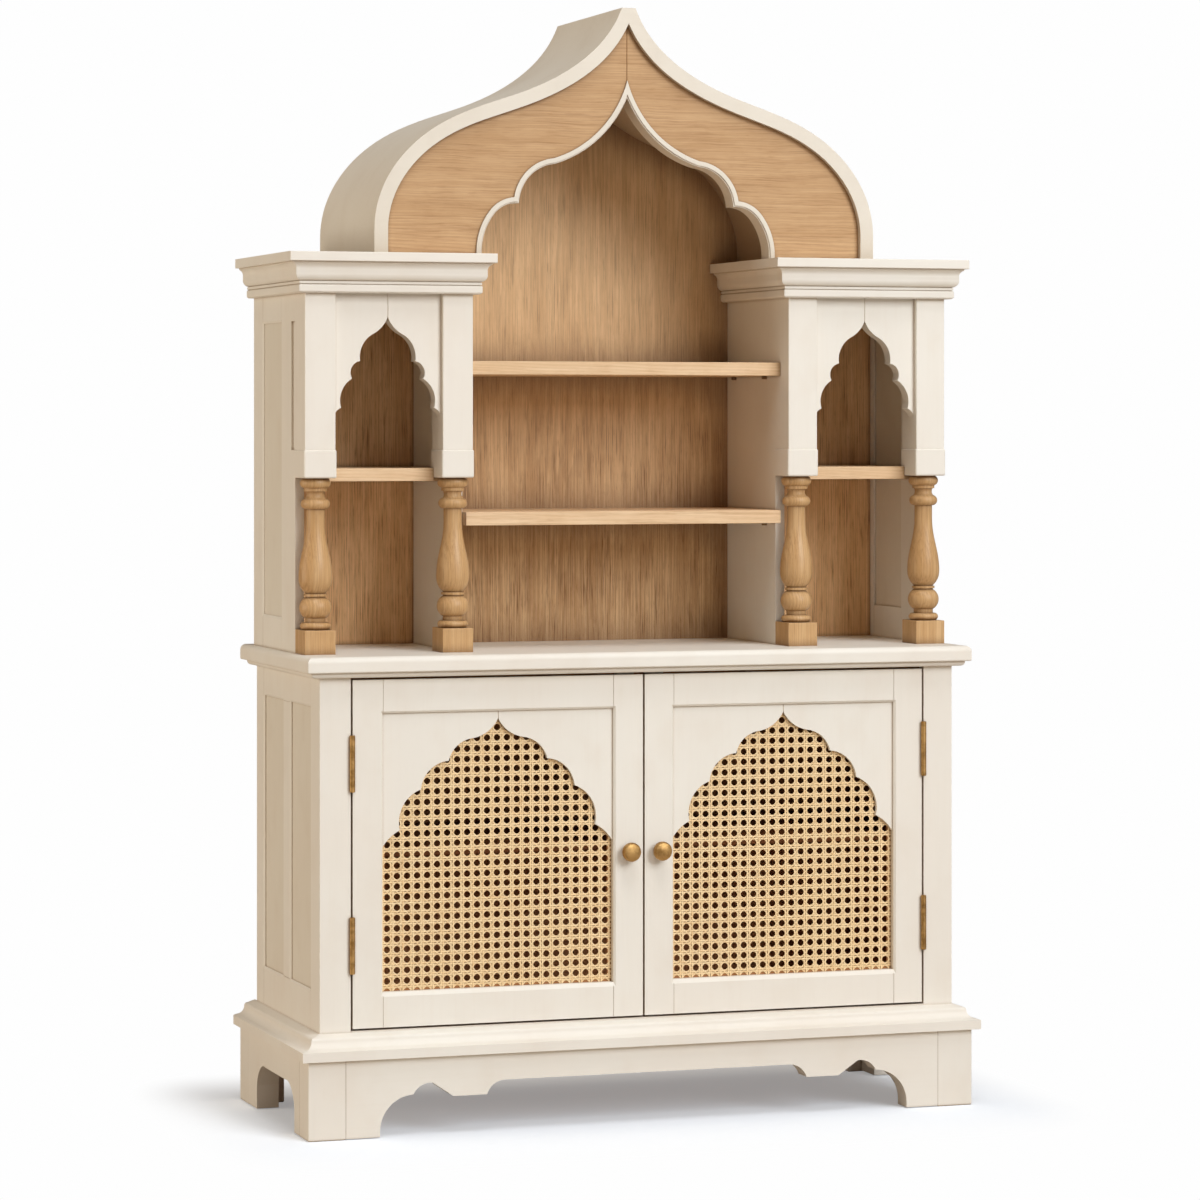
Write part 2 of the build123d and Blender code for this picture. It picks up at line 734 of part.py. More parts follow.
def turned_column(low, height, radius):
    """The turned part of a baluster about the Z axis: bead, ball, collar, vase, bead, cove and cap."""
    def at(share, width):
        return (width * radius, 0, low + share * height)

    edges = [Line((0, 0, low), at(0, bead_root))]
    edges.append(ThreePointArc(at(base_bead[0], bead_root), at(base_bead[1], end_bead_share),
                               at(base_bead[2], bead_root)))
    edges.append(Line(at(base_bead[2], bead_root), at(base_bead[2], neck_share)))
    edges.append(Line(at(base_bead[2], neck_share), at(ball[0], neck_share)))
    edges.append(ThreePointArc(at(ball[0], neck_share), at(ball[1], ball_share), at(ball[2], neck_share)))
    edges.append(Line(at(ball[2], neck_share), at(collar[0], neck_share)))
    edges.append(Line(at(collar[0], neck_share), at(collar[0], collar_share)))
    edges.append(Line(at(collar[0], collar_share), at(collar[1], collar_share)))
    edges.append(Line(at(collar[1], collar_share), at(collar[1], neck_share)))
    edges.append(Line(at(collar[1], neck_share), at(vase_foot, neck_share)))
    swell = at(vase_foot + (vase_belly - vase_foot) * vase_swell[0],
               neck_share + (1 - neck_share) * vase_swell[1])
    lower_vase = [at(vase_foot, neck_share), swell, at(vase_belly, 1)]
    edges.append(Spline(lower_vase, tangents=[(1, 0, 1), (0, 0, 1)]))
    upper_vase = [at(vase_belly, 1), at(vase_neck, vase_neck_share)]
    edges.append(Spline(upper_vase, tangents=[(0, 0, 1), (0, 0, 1)]))
    edges.append(Line(at(vase_neck, vase_neck_share), at(upper_bead[0], vase_neck_share)))
    edges.append(Line(at(upper_bead[0], vase_neck_share), at(upper_bead[0], upper_root)))
    edges.append(ThreePointArc(at(upper_bead[0], upper_root), at(upper_bead[1], bead_share),
                               at(upper_bead[2], upper_root)))
    edges.append(ThreePointArc(at(upper_cove[0], upper_root), at(upper_cove[1], cove_share),
                               at(upper_cove[2], neck_share)))
    edges.append(Line(at(upper_cove[2], neck_share), at(cap_ring[0], ring_share)))
    edges.append(Line(at(cap_ring[0], ring_share), at(cap_ring[1], ring_share)))
    edges.append(Line(at(cap_ring[1], ring_share), at(cap_bead[0], bead_root)))
    edges.append(ThreePointArc(at(cap_bead[0], bead_root), at(cap_bead[1], end_bead_share),
                               at(cap_bead[2], bead_root)))
    edges.append(Line(at(cap_bead[2], bead_root), at(1, bead_root)))
    edges.append(Line(at(1, bead_root), (0, 0, low + height)))
    edges.append(Line((0, 0, low + height), (0, 0, low)))
    return revolve(Face(Wire(edges)), axis=Axis.Z)


def baluster(post_inner):
    """One oak baluster: a square foot on the counter under a turned column."""
    x = (post_inner, post_inner + post_width)
    y = (tower_front, tower_side_front)
    foot_top = counter_top_height + baluster_foot
    foot = block(x, y, (counter_top_height, foot_top))
    foot = fillet(foot.edges().filter_by_position(Axis.Z, foot_top - seam, foot_top + seam), ease)
    column = turned_column(foot_top, baluster_height - baluster_foot, baluster_radius)
    return foot + column.moved(Location((sum(x) / 2, sum(y) / 2, 0)))


def balusters():
    """The right tower's inner and outer balusters."""
    return [baluster(tower_inner), baluster(tower_outer - post_width)]


def cornice_board_right():
    """The flat board on the right tower, notched round the bay's back."""
    inner = tower_inner - cornice_overhang
    outer = tower_outer + cornice_overhang
    front = tower_front - cornice_overhang
    corners = [(inner, front), (outer, front), (outer, tower_rear), (tower_inner, tower_rear),
               (tower_inner, oak_front), (inner, oak_front)]
    plan = Polyline([(across, deep, tower_top) for across, deep in corners], close=True)
    board = extrude(Face(Wire(plan.edges())), amount=cornice_board, dir=(0, 0, 1))
    rims = board.edges().filter_by_position(Axis.Y, front - seam, front + seam)
    return [fillet(rims, ease)]


def cornice_moulding():
    """The moulding under the board in three mitred lengths: flare, throat, tuck, neck and bead."""
    throat_low = cornice_flare + cornice_band
    bead_low = cornice_bead_top + cornice_bead_height
    bead_out = cornice_neck + cornice_bead_reach
    tuck_out = cornice_neck + cornice_quirk
    turn = cornice_bead_reach * diagonal
    profile = flat_path([(cornice_neck, -cornice_height), (0, -cornice_height), (0, 0), (cornice_reach, 0),
                         (cornice_reach, -cornice_lip)])
    profile.append(ThreePointArc((cornice_reach, -cornice_lip),
                                 (cornice_throat + (cornice_reach - cornice_throat) * flare_turn[0],
                                  -cornice_lip - (cornice_flare - cornice_lip) * flare_turn[1]),
                                 (cornice_throat, -cornice_flare)))
    profile.append(Line((cornice_throat, -cornice_flare), (cornice_throat, -throat_low)))
    profile.append(ThreePointArc((cornice_throat, -throat_low),
                                 (tuck_out + (cornice_throat - tuck_out) * throat_turn[0],
                                  -throat_low - (cornice_tuck - throat_low) * throat_turn[1]),
                                 (tuck_out, -cornice_tuck)))
    fillet_top = cornice_tuck + cornice_groove
    fillet_low = cornice_bead_top - cornice_groove
    fillet_out = cornice_neck + cornice_fillet_reach
    profile += flat_path([(tuck_out, -cornice_tuck), (cornice_neck, -cornice_tuck),
                          (cornice_neck, -fillet_top), (fillet_out, -fillet_top),
                          (fillet_out, -fillet_low), (cornice_neck, -fillet_low),
                          (cornice_neck, -cornice_bead_top)])
    profile.append(ThreePointArc((cornice_neck, -cornice_bead_top),
                                 (cornice_neck + turn, -cornice_bead_top - cornice_bead_reach + turn),
                                 (bead_out, -cornice_bead_top - cornice_bead_reach)))
    profile.append(Line((bead_out, -cornice_bead_top - cornice_bead_reach),
                        (bead_out, -bead_low + cornice_bead_reach)))
    profile.append(ThreePointArc((bead_out, -bead_low + cornice_bead_reach),
                                 (cornice_neck + turn, -bead_low + cornice_bead_reach - turn),
                                 (cornice_neck, -bead_low)))
    profile.append(Line((cornice_neck, -bead_low), (cornice_neck, -cornice_height)))
    inner = (tower_inner, tower_front, tower_top)
    outer = (tower_outer, tower_front, tower_top)
    reach = cornice_reach
    front_run = mitred_run(profile, inner, outer, (0, -1, 0), reach, 1, 1)
    outer_run = mitred_run(profile, outer, (tower_outer, tower_rear, tower_top), (1, 0, 0), reach, 1, 0)
    inner_run = mitred_run(profile, inner, (tower_inner, oak_front, tower_top), (-1, 0, 0), reach, 1, 0)
    return [front_run, outer_run, inner_run]


def roof_curve():
    """The dome's outer edge from its point to its shoulder, right half."""
    points = [(dome_tip / 2, 0, dome_base + dome_height)]
    points += [(across * dome_half, 0, dome_base + up * dome_height) for across, up in dome_curve]
    points.append((dome_half, 0, dome_base + dome_shoulder * dome_height))
    return Spline(points)


def roof_inner_edges():
    """The dome's inner edge from under its point to its foot, a roof's thickness inside the outer edge."""
    outer = roof_curve()
    points = [Vector(0, 0, dome_base + dome_height - dome_tip_thickness)]
    for place in range(1, roof_places + 1):
        share = place / roof_places
        tangent = outer % share
        points.append(outer @ share + Vector(tangent.Z, 0, -tangent.X) * roof_thickness)
    return [Spline(points), Line(points[-1], (points[-1].X, 0, dome_base))]


def dome_roof():
    """The ogee roof in two halves that meet under the flat point."""
    inner = roof_inner_edges()
    foot = inner[-1] @ 1
    peak = dome_base + dome_height
    edges = [roof_curve()]
    edges += path([(dome_half, dome_base + dome_shoulder * dome_height), (dome_half, dome_base),
                   (foot.X, foot.Z)])
    edges += inner
    edges += path([(0, peak - dome_tip_thickness), (0, peak), (dome_tip / 2, peak)])
    half = board_of(edges, dome_front, tower_rear + roof_overhang - dome_front)
    return [half, other_side(half)]


def dome_filler(front, thickness):
    """A board that fills the right half of the dome inside the roof."""
    inner = roof_inner_edges()
    foot = inner[-1] @ 1
    peak = dome_base + dome_height - dome_tip_thickness
    edges = inner + path([(foot.X, foot.Z), (0, dome_base), (0, peak)])
    return board_of(edges, front, thickness)


def dome_arch_edges():
    """The scalloped edge of the dome's opening, right half."""
    return foil_edges(dome_foils, dome_arch_width / 2, dome_base + dome_arch_rise, dome_arch_rise)


def into_opening(edge, share):
    """The direction into the opening at a share of the way along one edge of an arch."""
    tangent = edge % share
    return Vector(tangent.Z, 0, -tangent.X)


def inset_corner(corner, centre_one, inward_one, centre_two, inward_two, distance):
    """Where two arcs that meet at a corner cross once both are moved into the opening."""
    radius_one = (corner + inward_one * distance - centre_one).length
    radius_two = (corner + inward_two * distance - centre_two).length
    between = centre_two - centre_one
    along = (radius_one ** 2 - radius_two ** 2 + between.length ** 2) / (2 * between.length)
    across = (radius_one ** 2 - along ** 2) ** 0.5
    sideways = between.normalized().cross(Vector(0, 1, 0)) * across
    foot = centre_one + between.normalized() * along
    return min((foot + sideways, foot - sideways), key=lambda place: (place - corner).length)


def inset_edges(edges, distance):
    """The edges of half an arch moved into its opening, from the middle down to the foot."""
    first = edges[0]
    crown = first @ 0
    inward = into_opening(first, 0)
    centre = first.arc_center
    corners = [inset_corner(crown, centre, inward, Vector(-centre.X, 0, centre.Z),
                            Vector(-inward.X, 0, inward.Z), distance)]
    for one, two in zip(edges, edges[1:]):
        inward_one = into_opening(one, 1)
        inward_two = into_opening(two, 0)
        if inward_one.get_angle(inward_two) < smooth_turn:
            corners.append(one @ 1 + (inward_one + inward_two).normalized() * distance)
        else:
            corners.append(inset_corner(one @ 1, one.arc_center, inward_one, two.arc_center, inward_two,
                                        distance))
    foot = edges[-1] @ 1
    corners.append(Vector(foot.X - distance, 0, foot.Z))
    middles = [edge @ 0.5 + into_opening(edge, 0.5) * distance for edge in edges]
    return [ThreePointArc(start, middle, end) for start, middle, end in zip(corners, middles, corners[1:])]


def dome_fascia():
    """The oak front of the dome in two halves, cut out round the scalloped arch."""
    inner = roof_inner_edges()
    roof_foot = inner[-1] @ 1
    edges = inner + [Line(roof_foot, (dome_arch_width / 2, 0, dome_base))] + dome_arch_edges()
    edges.append(Line((0, 0, dome_base + dome_arch_rise), inner[0] @ 0))
    half = board_of(edges, fascia_front, fascia_thickness)
    meeting = half.edges().filter_by(Axis.Z).filter_by_position(Axis.X, -seam, seam)
    half = chamfer(meeting.sort_by(Axis.Y)[0], seam)
    return [half, other_side(half)]


def dome_arch_trim():
    """The cream strip that lines the scalloped edge, stepped back along the opening, in two halves."""
    outer = dome_arch_edges()
    front = fascia_front - trim_proud
    layers = []
    for width, start, end in ((trim_width - trim_step, front, front + trim_step),
                              (trim_width, front + trim_step, front + trim_depth)):
        inner = inset_edges(outer, width)
        edges = outer + inner + [Line(outer[0] @ 0, inner[0] @ 0), Line(outer[-1] @ 1, inner[-1] @ 1)]
        layers.append(board_of(edges, start, end - start))
    half = layers[0] + layers[1]
    return [half, other_side(half)]


def lining_edge(spread):
    """The vault's curve from its point at X = 0 down to the cornice, moved outwards by spread."""
    half_width = lining_width / 2
    crown = dome_base + lining_rise
    points = [Vector(0, 0, crown)]
    points += [Vector(across * half_width, 0, crown - fall * lining_rise) for across, fall in lining_curve]
    points.append(Vector(half_width, 0, dome_base))
    inner = Spline(points)
    if spread == 0:
        return inner
    moved = [Vector(0, 0, crown + lining_crown)]
    for place in range(1, lining_places + 1):
        share = place / (lining_places + 1)
        tangent = inner % share
        moved.append(inner @ share + Vector(-tangent.Z, 0, tangent.X) * spread)
    moved.append(Vector(half_width + spread, 0, dome_base))
    return Spline(moved)


def dome_lining():
    """The smooth vault behind the arch, from the fascia to the oak back, in two halves."""
    inner = lining_edge(0)
    outer = lining_edge(lining_thickness)
    edges = [inner, outer, Line(inner @ 1, outer @ 1), Line(inner @ 0, outer @ 0)]
    front = fascia_front + fascia_thickness
    half = board_of(edges, front, oak_front - front)
    return [half, other_side(half)]


def centre_back():
    """The bay's oak back: straight between the towers, spreading to the dome's inside above them."""
    lower = block((-tower_inner, tower_inner), (oak_front, oak_rear), (counter_top_height, dome_base))
    half = dome_filler(oak_front, oak_back)
    return [lower + half + other_side(half)]


def centre_shelf(height):
    """One shelf of the bay, standing proud of the side boards."""
    low = counter_top_height + height
    shelf = block((-tower_inner, tower_inner), (tower_side_front - centre_shelf_reach, oak_front),
                  (low, low + centre_shelf_thickness))
    nose = shelf.edges().filter_by(Axis.X).sort_by(Axis.Y)[:2]
    return [fillet(nose, ease)]


def door_frame():
    """The right door's stiles and rails, bevelled towards the pane."""
    y = (case_front, inner_front)
    z = (door_bottom, door_top)
    inner_stile = block((door_inner, door_inner + door_stile), y, z)
    outer_stile = block((door_outer - door_stile, door_outer), y, z)
    rail_x = (door_inner + door_stile, door_outer - door_stile)
    top_rail = seamed(block(rail_x, y, (pane_top, door_top)), Axis.Z)
    bottom_rail = seamed(block(rail_x, y, (door_bottom, pane_bottom)), Axis.Z)
    face_plane = Plane(origin=(door_middle, case_front, 0), x_dir=(1, 0, 0), z_dir=(0, -1, 0))
    deep_plane = face_plane.offset(-bevel_depth)
    width = 2 * pane_half
    face_middle = (pane_top + door_bevel + pane_bottom - sill_bevel) / 2
    face_height = pane_top - pane_bottom + door_bevel + sill_bevel
    wide = face_plane * Pos(0, face_middle) * Rectangle(width + 2 * door_bevel, face_height)
    narrow = deep_plane * Pos(0, (pane_top + pane_bottom) / 2) * Rectangle(width, pane_top - pane_bottom)
    bevel = loft([wide.face(), narrow.face()], ruled=True)
    return [piece - bevel for piece in (inner_stile, outer_stile, top_rail, bottom_rail)]


def door_arch_panel():
    """The right door's arched panel behind its frame's face, in two halves."""
    half = arch_half_panel(door_foils, pane_half, pane_top, pane_top - door_arch_top, door_arch_rise,
                           case_front + arch_panel_set, arch_panel_board)
    place = Location((door_middle, 0, 0))
    return [half.moved(place), other_side(half).moved(place)]


def door_cane():
    """The right door's woven cane as one thin sheet."""
    return [block((door_middle - pane_half, door_middle + pane_half),
                  (cane_front, cane_front + cane_thickness), (pane_bottom, pane_top))]


def door_cane_beads():
    """Four beads that hold the right door's cane from behind."""
    y = (cane_front + cane_thickness, inner_front)
    left = door_middle - pane_half
    right = door_middle + pane_half
    uprights = [block((left, left + bead_width), y, (pane_bottom, pane_top)),
                block((right - bead_width, right), y, (pane_bottom, pane_top))]
    levels = [block((left + bead_width, right - bead_width), y, (pane_bottom, pane_bottom + bead_width)),
              block((left + bead_width, right - bead_width), y, (pane_top - bead_width, pane_top))]
    return uprights + levels


def door_knob():
    """The right door's round knob: a base, a waist and a domed head."""
    length = knob_length
    radius = knob_radius
    crown_half = radius * crown_width
    crown_rise = length * crown_share
    crown_radius = (crown_half ** 2 + crown_rise ** 2) / (2 * crown_rise)
    crown_middle = length - crown_radius + (crown_radius ** 2 - (crown_half / 2) ** 2) ** 0.5
    base = (knob_base, length * base_share)
    under_head = (knob_neck, length * head_start)
    rim = (radius, length * head_widest)
    crown = (crown_half, length - crown_rise)
    edges = path([(0, 0), (knob_base, 0), base])
    edges.append(arc(base, (knob_waist, length * waist_share), under_head))
    edges.append(arc(under_head, (radius * head_swell[0], length * head_swell[1]), rim))
    edges.append(arc(rim, (radius * head_turn[0], length * head_turn[1]), crown))
    edges.append(arc(crown, (crown_half / 2, crown_middle), (0, length)))
    edges.append(Line((0, 0, length), (0, 0, 0)))
    knob = revolve(Face(Wire(edges)), axis=Axis.Z).rotate(Axis.X, 90)
    place = (door_inner + knob_from_edge, case_front, door_bottom + knob_height)
    return [knob.moved(Location(place))]


def knuckle_spans():
    """The knuckles of a hinge about its middle, each as its lower and upper end."""
    usable = hinge_length - 2 * pin_head
    pitch = usable / knuckles
    spans = []
    for count in range(knuckles):
        low = -usable / 2 + count * pitch
        spans.append((low + knuckle_gap / 2, low + pitch - knuckle_gap / 2))
    spans[0] = (-usable / 2, spans[0][1])
    spans[-1] = (spans[-1][0], usable / 2)
    return spans


def hinge_leaf(spans, side, height):
    """One leaf with its knuckles; side is -1 for the door's leaf and 1 for the frame's."""
    bore = hinge_pin_radius + pin_play
    near = side * (door_gap / 2 - leaf_thickness)
    far = side * door_gap / 2
    plate_start = hinge_radius + knuckle_gap * 2
    leaf = block((near, far), (plate_start, leaf_width), (spans[0][0], spans[-1][1]))
    for low, high in spans:
        barrel = Cylinder(hinge_radius, high - low, align=(Align.CENTER, Align.CENTER, Align.MIN))
        tab = block((near, far), (0, plate_start), (0, high - low))
        hole = Cylinder(bore, high - low, align=(Align.CENTER, Align.CENTER, Align.MIN))
        leaf += ((barrel + tab) - hole).moved(Location((0, 0, low)))
    return leaf.moved(Location((hinge_x, hinge_y, height)))


def hinge_frame_leaves():
    """The leaves on the face frame: three knuckles each, two hinges a side."""
    right = [hinge_leaf(knuckle_spans()[0::2], 1, height) for height in hinge_heights]
    return right + [other_side(leaf) for leaf in right]


def door_hinge_leaves():
    """The leaves on the right door's edge: two knuckles each."""
    return [hinge_leaf(knuckle_spans()[1::2], -1, height) for height in hinge_heights]


def hinge_pins():
    """The pins through the knuckles, with a thin head at each end."""
    right = []
    for height in hinge_heights:
        pin = Cylinder(hinge_pin_radius, hinge_length)
        for end in (-1, 1):
            head = Cylinder(pin_head_radius, pin_head)
            pin += head.moved(Location((0, 0, end * (hinge_length - pin_head) / 2)))
        right.append(pin.moved(Location((hinge_x, hinge_y, height))))
    return right + [other_side(pin) for pin in right]


def door_catches():
    """Magnetic catches under the counter, behind the doors' meeting stiles."""
    front = inner_front + strike_thickness + catch_gap
    right = block((catch_from_middle, catch_from_middle + catch_length), (front, front + catch_depth),
                  (case_top - catch_height, case_top))
    return [right, other_side(right)]


def door_strike():
    """The steel plate on the back of the right door, in front of its catch."""
    middle = catch_from_middle + catch_length / 2
    low = case_top - catch_height
    return [block((middle - strike_length / 2, middle + strike_length / 2),
                  (inner_front, inner_front + strike_thickness), (low, low + strike_height))]


def both_doors(name, solids):
    """Store a door piece for the right door and its twin for the left."""
    nodes["right_door_" + name] = solids
    nodes["left_door_" + name] = [other_side(solid) for solid in solids]


def both_towers(name, solids):
    """Store a tower piece for the right side and its twin for the left."""
    nodes[name + "_right"] = solids
    nodes[name + "_left"] = [other_side(solid) for solid in solids]


nodes["plinth_legs"] = plinth_legs()
nodes["plinth_apron_front"] = plinth_apron_front()
nodes["plinth_aprons_side"] = plinth_aprons_side()
nodes["plinth_rail_rear"] = plinth_rail_rear()
nodes["plinth_corner_blocks"] = plinth_corner_blocks()
nodes["base_moulding"] = base_moulding()
nodes["carcase_floor"] = carcase_floor()
both_towers("lower_side_frame", lower_side_frame())
nodes["lower_side_panels"] = lower_side_panels()
nodes["face_frame"] = face_frame()
nodes["lower_back_board"] = lower_back_board()
nodes["lower_shelf"] = lower_shelf()
nodes["shelf_pins"] = shelf_pins()
nodes["counter_top"] = counter_top()
nodes["counter_moulding"] = counter_moulding()
both_towers("tower_side_frame", tower_side_frame())
nodes["tower_side_panels"] = tower_side_panels()
both_towers("tower_inner_side", tower_inner_side())
both_towers("tower_back", tower_back())
both_towers("tower_shelf", tower_shelf())
both_towers("tower_posts", tower_posts())
both_towers("tower_arch_panel", tower_arch_panel())
both_towers("balusters", balusters())
both_towers("cornice_board", cornice_board_right())
both_towers("cornice_moulding", cornice_moulding())
nodes["centre_back"] = centre_back()
nodes["centre_shelf_lower"] = centre_shelf(centre_shelf_heights[0])
nodes["centre_shelf_upper"] = centre_shelf(centre_shelf_heights[1])
nodes["dome_roof"] = dome_roof()
nodes["dome_fascia"] = dome_fascia()
nodes["dome_arch_trim"] = dome_arch_trim()
nodes["dome_lining"] = dome_lining()
nodes["hinge_frame_leaves"] = hinge_frame_leaves()
nodes["hinge_pins"] = hinge_pins()
nodes["door_catches"] = door_catches()
both_doors("frame", door_frame())
both_doors("arch_panel", door_arch_panel())
both_doors("cane", door_cane())
both_doors("cane_beads", door_cane_beads())
both_doors("knob", door_knob())
both_doors("hinge_leaves", door_hinge_leaves())
both_doors("strike", door_strike())

os.makedirs("parts", exist_ok=True)
for name, solids in nodes.items():
    shape = solids[0] if len(solids) == 1 else Compound(children=solids)
    export_step(shape, "parts/" + name + ".step")
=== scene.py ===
import math
import random

import bpy
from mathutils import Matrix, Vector


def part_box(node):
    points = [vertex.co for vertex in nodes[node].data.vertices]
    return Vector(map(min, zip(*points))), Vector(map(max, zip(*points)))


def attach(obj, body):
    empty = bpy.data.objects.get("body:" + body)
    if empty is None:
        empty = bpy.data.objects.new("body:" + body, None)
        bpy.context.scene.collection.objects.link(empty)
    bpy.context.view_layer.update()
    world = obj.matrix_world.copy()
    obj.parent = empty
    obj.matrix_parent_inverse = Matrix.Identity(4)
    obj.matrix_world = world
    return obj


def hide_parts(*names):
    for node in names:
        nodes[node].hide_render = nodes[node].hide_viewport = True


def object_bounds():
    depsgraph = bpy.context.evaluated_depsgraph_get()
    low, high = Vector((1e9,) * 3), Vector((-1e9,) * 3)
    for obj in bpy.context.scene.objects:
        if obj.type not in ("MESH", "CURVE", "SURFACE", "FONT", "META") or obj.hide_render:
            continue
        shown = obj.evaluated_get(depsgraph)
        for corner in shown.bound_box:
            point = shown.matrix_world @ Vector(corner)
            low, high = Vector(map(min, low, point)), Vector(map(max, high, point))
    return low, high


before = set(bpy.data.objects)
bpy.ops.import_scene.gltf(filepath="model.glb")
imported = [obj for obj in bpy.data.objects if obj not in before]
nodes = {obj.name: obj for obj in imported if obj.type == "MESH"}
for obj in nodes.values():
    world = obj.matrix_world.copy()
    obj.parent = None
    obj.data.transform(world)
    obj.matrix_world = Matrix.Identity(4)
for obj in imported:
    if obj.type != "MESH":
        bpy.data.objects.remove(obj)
cad_low, cad_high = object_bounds()

# ---------------------------------------------------------------------------------------------
# Studio. A seamless pale floor under a pale surround, a camera at standing height a few metres
# in front and to the left, and soft lamps: one broad one at the front right, weaker ones round it.

image_side = 1200
sensor = 36
focal_pixels = 4171.8
horizon_row = 424.68
camera_turn = 18.753
camera_place = (-2.6613, -7.8041, 1.3394)
view_reach = 100

camera_data = bpy.data.cameras.new("camera")
camera_data.sensor_width = sensor
camera_data.lens = focal_pixels * sensor / image_side
camera_data.shift_y = (horizon_row - image_side / 2) / image_side
camera_data.clip_end = view_reach
camera = bpy.data.objects.new("camera", camera_data)
bpy.context.scene.collection.objects.link(camera)
camera.location = camera_place
camera.rotation_euler = (math.radians(90), 0, math.radians(-camera_turn))
bpy.context.scene.camera = camera
bpy.context.scene.view_settings.view_transform = "Standard"


def linear(red, green, blue):
    """A colour given in the 0 to 255 steps of a screen, as the linear colour that a shader takes."""
    steps = []
    for value in (red, green, blue):
        share = value / 255
        steps.append(share / 12.92 if share <= 0.04045 else ((share + 0.055) / 1.055) ** 2.4)
    return (*steps, 1)


def lamp(name, place, target, size, watts, colour):
    """A square soft lamp that faces its target. Places and size are in metres."""
    data = bpy.data.lights.new(name, "AREA")
    data.shape = "SQUARE"
    data.size = size
    data.energy = watts
    data.color = colour
    holder = bpy.data.objects.new(name, data)
    bpy.context.scene.collection.objects.link(holder)
    holder.location = place
    holder.rotation_euler = (Vector(target) - Vector(place)).to_track_quat("-Z", "Y").to_euler()


lamp("key_lamp", place=(4.7, -12.0, 7.2), target=(0, 0, 1.1), size=7.4, watts=1400,
     colour=(0.90, 0.945, 1.0))
lamp("front_lamp", place=(-0.9, -6.4, 0.7), target=(0, 0, 1.0), size=1.6, watts=20,
     colour=(1.0, 0.97, 0.93))
lamp("side_lamp", place=(-5.4, 0.4, 1.2), target=(0, 0, 0.9), size=3.0, watts=114,
     colour=(1.0, 0.89, 0.75))
lamp("top_lamp", place=(-0.3, -3.8, 10.0), target=(0, 0, 0.9), size=4.6, watts=355,
     colour=(0.97, 0.975, 1.0))


class Socket:
    """One output of a shader node. Sums with it make Math nodes in the same tree."""

    def __init__(self, tree, output):
        self.tree = tree
        self.output = output

    def maths(self, operation, *values):
        return node(self.tree, "ShaderNodeMath", {"operation": operation}, dict(enumerate(values)))

    def __add__(self, other):
        return self.maths("ADD", self, other)

    __radd__ = __add__

    def __sub__(self, other):
        return self.maths("SUBTRACT", self, other)

    def __rsub__(self, other):
        return self.maths("SUBTRACT", other, self)

    def __mul__(self, other):
        return self.maths("MULTIPLY", self, other)

    __rmul__ = __mul__

    def __truediv__(self, other):
        return self.maths("DIVIDE", self, other)

    def __rtruediv__(self, other):
        return self.maths("DIVIDE", other, self)

    def __pow__(self, other):
        return self.maths("POWER", self, other)

    def of(self, operation, *others):
        return self.maths(operation, self, *others)

    def ramp(self, low, high):
        """0 below low, 1 above high and smooth between them."""
        return node(self.tree, "ShaderNodeMapRange", {"interpolation_type": "SMOOTHSTEP"},
                    {"Value": self, "From Min": low, "From Max": high})


def node(tree, kind, settings, values, output=0):
    """A shader node: its settings, then its inputs as values or as other nodes' sockets."""
    made = tree.nodes.new(kind)
    for name, value in settings.items():
        setattr(made, name, value)
    for name, value in values.items():
        if isinstance(value, Socket):
            tree.links.new(value.output, made.inputs[name])
        else:
            made.inputs[name].default_value = value
    return Socket(tree, made.outputs[output])


def mixed(tree, share, one, two):
    """Two colours mixed by a share."""
    return node(tree, "ShaderNodeMix", {"data_type": "RGBA"}, {0: share, 6: one, 7: two}, output=2)


def new_material(name):
    """A material with a bare shader, as its tree and its shader's inputs."""
    made = bpy.data.materials.new(name)
    made.use_nodes = True
    tree = made.node_tree
    return made, tree, tree.nodes["Principled BSDF"].inputs


def place_in(tree):
    """The place on the piece, in metres, as three sockets."""
    coordinates = node(tree, "ShaderNodeTexCoord", {}, {}, output="Object")
    apart = node(tree, "ShaderNodeSeparateXYZ", {}, {"Vector": coordinates})
    source = apart.output.node
    return [Socket(tree, source.outputs[axis]) for axis in "XYZ"]


def together(tree, x, y, z):
    """Three sockets or numbers as one vector."""
    return node(tree, "ShaderNodeCombineXYZ", {}, {"X": x, "Y": y, "Z": z})


def noise(tree, vector, scale=1.0, detail=2.0, roughness=0.5):
    """Smooth noise from 0 to 1."""
    return node(tree, "ShaderNodeTexNoise", {}, {"Vector": vector, "Scale": scale, "Detail": detail,
                                                 "Roughness": roughness})


def bumped(tree, height, distance, strength=1.0):
    """A normal from a height."""
    return node(tree, "ShaderNodeBump", {}, {"Height": height, "Distance": distance, "Strength": strength})


def occlusion_shade(tree, reach):
    """How shut in a place is within reach, from ambient occlusion: 0 in the open, 1 deep in a corner. A mask
    for painted shade.
    """
    openness = node(tree, "ShaderNodeAmbientOcclusion", {"samples": 6}, {"Distance": reach}, output="AO")
    return 1 - openness.ramp(0.40, 0.95)


def joined(tree, value, inputs, name):
    """Feed a socket into the shader."""
    tree.links.new(value.output, inputs[name])


page_white = linear(254, 254, 254)

surround = bpy.data.worlds.new("surround")
surround.use_nodes = True
bpy.context.scene.world = surround
sky = surround.node_tree
sky_out = next(item for item in sky.nodes if item.type == "OUTPUT_WORLD")
seen = node(sky, "ShaderNodeLightPath", {}, {}, output="Is Camera Ray")
soft_sky = node(sky, "ShaderNodeBackground", {}, {"Color": (1.0, 0.86, 0.72, 1), "Strength": 0.22})
white_sky = node(sky, "ShaderNodeBackground", {}, {"Color": page_white, "Strength": 1.0})
both_skies = node(sky, "ShaderNodeMixShader", {}, {0: seen, 1: soft_sky, 2: white_sky})
sky.links.new(both_skies.output, sky_out.inputs["Surface"])

